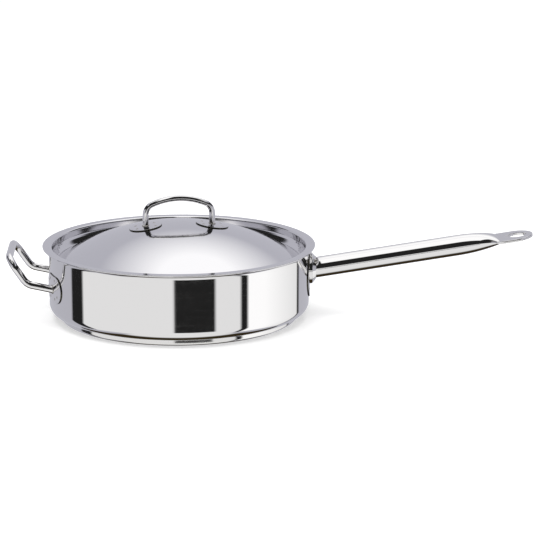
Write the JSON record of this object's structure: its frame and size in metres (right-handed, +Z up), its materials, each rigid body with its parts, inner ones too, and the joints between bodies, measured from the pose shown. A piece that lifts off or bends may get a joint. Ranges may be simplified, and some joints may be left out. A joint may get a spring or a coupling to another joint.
{
  "type": "saute pan with lid",
  "caption": "Wide straight-sided stainless steel pan with a sandwich base, a long tube handle, a wire helper handle and a domed lift-off lid with a wire grip.",
  "frame": {"origin": "centre of the base's flat underside, on the pan's axis", "axes": "+X from the pan's axis along the long handle, +Z up along the pan's axis, the helper handle on the -X side"},
  "size_m": [0.5671, 0.2932, 0.1319],
  "materials": {
    "polished_steel": "mirror-polished stainless steel",
    "handle_steel": "polished stainless steel tube and rod",
    "satin_steel": "fine satin stainless steel",
    "core_aluminium": "plain rolled aluminium, sealed in",
    "weld_metal": "cleaned weld metal"
  },
  "bodies": {
    "pan": {"pan_shell": "polished_steel", "base_core": "core_aluminium", "base_cap": "polished_steel", "handle_saddle": "polished_steel", "handle_ferrule": "polished_steel", "handle_tube": "handle_steel", "handle_weld_beads": "weld_metal", "handle_spot_welds": "weld_metal", "helper_handle": "handle_steel", "helper_saddle_front": "polished_steel", "helper_saddle_rear": "polished_steel", "helper_foot_welds": "weld_metal", "helper_spot_welds": "weld_metal"},
    "lid": {"lid_shell": "satin_steel", "lid_handle": "handle_steel", "lid_saddle_left": "satin_steel", "lid_saddle_right": "satin_steel", "lid_foot_welds": "weld_metal", "lid_spot_welds": "weld_metal"}
  },
  "joints": [
    {"name": "lid_lift", "type": "slide", "parent": "pan", "child": "lid", "axis": [0, 0, 1], "range_m": [0, 0.12]}
  ]
}
